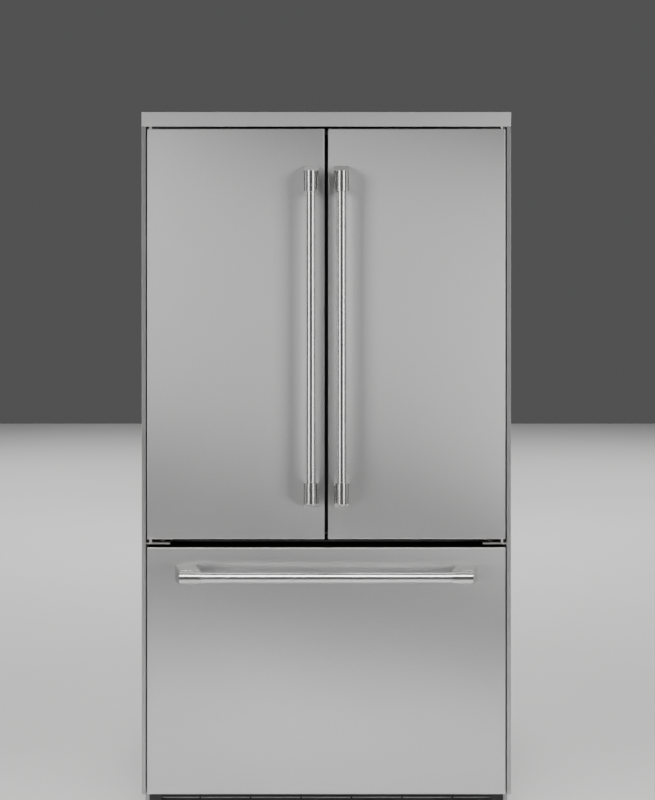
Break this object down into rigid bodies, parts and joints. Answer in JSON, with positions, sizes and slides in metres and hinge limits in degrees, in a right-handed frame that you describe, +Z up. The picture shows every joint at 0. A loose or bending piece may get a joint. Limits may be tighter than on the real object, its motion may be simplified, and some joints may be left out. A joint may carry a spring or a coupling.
{
  "type": "french door refrigerator",
  "caption": "French door refrigerator: stainless swing doors over a freezer drawer, tubular handles, shelves, crispers, baskets and cooling machinery inside.",
  "frame": {"origin": "middle of the footprint, at floor level", "axes": "+X to the viewer's right, +Y to the back, +Z up; the doors face -Y"},
  "size_m": [0.908, 0.773, 1.768],
  "materials": {
    "stainless": "satin",
    "case_paint": "satin",
    "galvanised_steel": "satin",
    "white_liner": "satin",
    "foam": "matte",
    "black_plastic": "satin",
    "gasket_rubber": "matte",
    "clear_plastic": "gloss",
    "shelf_glass": "polished",
    "zinc_steel": "satin",
    "copper": "satin",
    "white_plastic": "satin",
    "black_rubber": "matte",
    "black_enamel": "satin"
  },
  "bodies": {
    "cabinet": {"air_tower": "white_liner", "base_frame": "galvanised_steel", "base_grille": "black_plastic", "case_rear_panel": "galvanised_steel", "case_side_left": "case_paint", "case_side_right": "case_paint", "case_top_panel": "case_paint", "centre_hinge_left": "zinc_steel", "centre_hinge_right": "zinc_steel", "compressor": "black_enamel", "condenser_coil": "copper", "control_panel": "black_plastic", "crisper_cover": "shelf_glass", "evaporator_cover": "white_liner", "freezer_liner": "white_liner", "fridge_liner": "white_liner", "front_frame": "case_paint", "glass_shelf_lower": "shelf_glass", "glass_shelf_upper": "shelf_glass", "insulation": "foam", "machine_cover": "galvanised_steel", "mains_inlet": "black_plastic", "mullion_cover": "black_plastic", "top_hinge_left": "zinc_steel", "top_hinge_right": "zinc_steel", "top_rail": "stainless"},
    "left_door": {"left_door_bin_lower": "clear_plastic", "left_door_bin_upper": "clear_plastic", "left_door_gasket": "gasket_rubber", "left_door_handle": "stainless", "left_door_inner_panel": "white_liner", "left_door_skin": "stainless"},
    "right_door": {"right_door_bin_lower": "clear_plastic", "right_door_gasket": "gasket_rubber", "right_door_handle": "stainless", "right_door_inner_panel": "white_liner", "right_door_skin": "stainless", "dairy_bin": "clear_plastic"},
    "freezer_drawer": {"drawer_gasket": "gasket_rubber", "drawer_handle": "stainless", "drawer_inner_panel": "white_liner", "drawer_skin": "stainless", "freezer_bin": "white_plastic", "slide_moving_left": "zinc_steel", "slide_moving_right": "zinc_steel"},
    "folding_mullion": {"folding_mullion": "case_paint"},
    "dairy_lid": {"dairy_lid": "clear_plastic"},
    "middle_slides": {"slide_middle_left": "zinc_steel", "slide_middle_right": "zinc_steel"},
    "upper_basket": {"upper_basket": "white_plastic"},
    "crisper_left": {"crisper_left": "clear_plastic"},
    "crisper_right": {"crisper_right": "clear_plastic"},
    "control_button": {"control_button": "white_plastic"},
    "water_filter": {"water_filter": "white_plastic"},
    "evaporator_fan": {"evaporator_fan": "black_plastic"},
    "condenser_fan": {"condenser_fan": "black_plastic"},
    "rear_roller_left": {"rear_roller_left": "black_rubber"},
    "rear_roller_right": {"rear_roller_right": "black_rubber"},
    "levelling_leg_left": {"levelling_leg_left": "black_rubber"},
    "levelling_leg_right": {"levelling_leg_right": "black_rubber"}
  },
  "joints": [
    {"name": "left_door_swing", "type": "hinge", "parent": "cabinet", "child": "left_door", "pos_m": [-0.433, -0.313, 1.222], "axis": [0, 0, -1], "range_deg": [0, 105]},
    {"name": "right_door_swing", "type": "hinge", "parent": "cabinet", "child": "right_door", "pos_m": [0.433, -0.313, 1.222], "axis": [0, 0, 1], "range_deg": [0, 105]},
    {"name": "freezer_drawer_slide", "type": "slide", "parent": "cabinet", "child": "freezer_drawer", "axis": [0, -1, 0], "range_m": [0, 0.45]},
    {"name": "middle_slides_slide", "type": "slide", "parent": "cabinet", "child": "middle_slides", "axis": [0, -1, 0], "range_m": [0, 0.225]},
    {"name": "upper_basket_slide", "type": "slide", "parent": "cabinet", "child": "upper_basket", "axis": [0, -1, 0], "range_m": [0, 0.27]},
    {"name": "crisper_left_slide", "type": "slide", "parent": "cabinet", "child": "crisper_left", "axis": [0, -1, 0], "range_m": [0, 0.19]},
    {"name": "crisper_right_slide", "type": "slide", "parent": "cabinet", "child": "crisper_right", "axis": [0, -1, 0], "range_m": [0, 0.19]},
    {"name": "folding_mullion_fold", "type": "hinge", "parent": "left_door", "child": "folding_mullion", "pos_m": [-0.02, -0.2387, 1.222], "axis": [0, 0, -1], "range_deg": [0, 90]},
    {"name": "dairy_lid_lift", "type": "hinge", "parent": "right_door", "child": "dairy_lid", "pos_m": [0.225, -0.2287, 1.575], "axis": [1, 0, 0], "range_deg": [0, 80]},
    {"name": "control_button_press", "type": "slide", "parent": "cabinet", "child": "control_button", "axis": [0, 1, 0], "range_m": [0, 0.0015], "stiffness_N_per_m": 400},
    {"name": "water_filter_turn", "type": "hinge", "parent": "cabinet", "child": "water_filter", "pos_m": [0.335, 0.1, 1.664], "axis": [0, 1, 0], "range_deg": [0, 90]},
    {"name": "evaporator_fan_spin", "type": "hinge", "parent": "cabinet", "child": "evaporator_fan", "pos_m": [0, 0.268, 0.56], "axis": [0, 1, 0], "continuous": true},
    {"name": "condenser_fan_spin", "type": "hinge", "parent": "cabinet", "child": "condenser_fan", "pos_m": [-0.02, 0.27, 0.155], "axis": [1, 0, 0], "continuous": true},
    {"name": "rear_roller_left_spin", "type": "hinge", "parent": "cabinet", "child": "rear_roller_left", "pos_m": [-0.39, 0.33, 0.02], "axis": [1, 0, 0], "continuous": true},
    {"name": "rear_roller_right_spin", "type": "hinge", "parent": "cabinet", "child": "rear_roller_right", "pos_m": [0.39, 0.33, 0.02], "axis": [1, 0, 0], "continuous": true},
    {"name": "levelling_leg_left_turn", "type": "hinge", "parent": "cabinet", "child": "levelling_leg_left", "pos_m": [-0.4, -0.2, 0], "axis": [0, 0, 1], "continuous": true},
    {"name": "levelling_leg_right_turn", "type": "hinge", "parent": "cabinet", "child": "levelling_leg_right", "pos_m": [0.4, -0.2, 0], "axis": [0, 0, 1], "continuous": true}
  ],
  "couplings": [
    {"joint": "middle_slides_slide", "follows": "freezer_drawer_slide", "ratio": 0.5},
    {"joint": "upper_basket_slide", "follows": "freezer_drawer_slide", "ratio": 0.6},
    {"joint": "crisper_left_slide", "follows": "left_door_swing", "m_per_rad": 0.1036},
    {"joint": "crisper_right_slide", "follows": "right_door_swing", "m_per_rad": 0.1036}
  ]
}
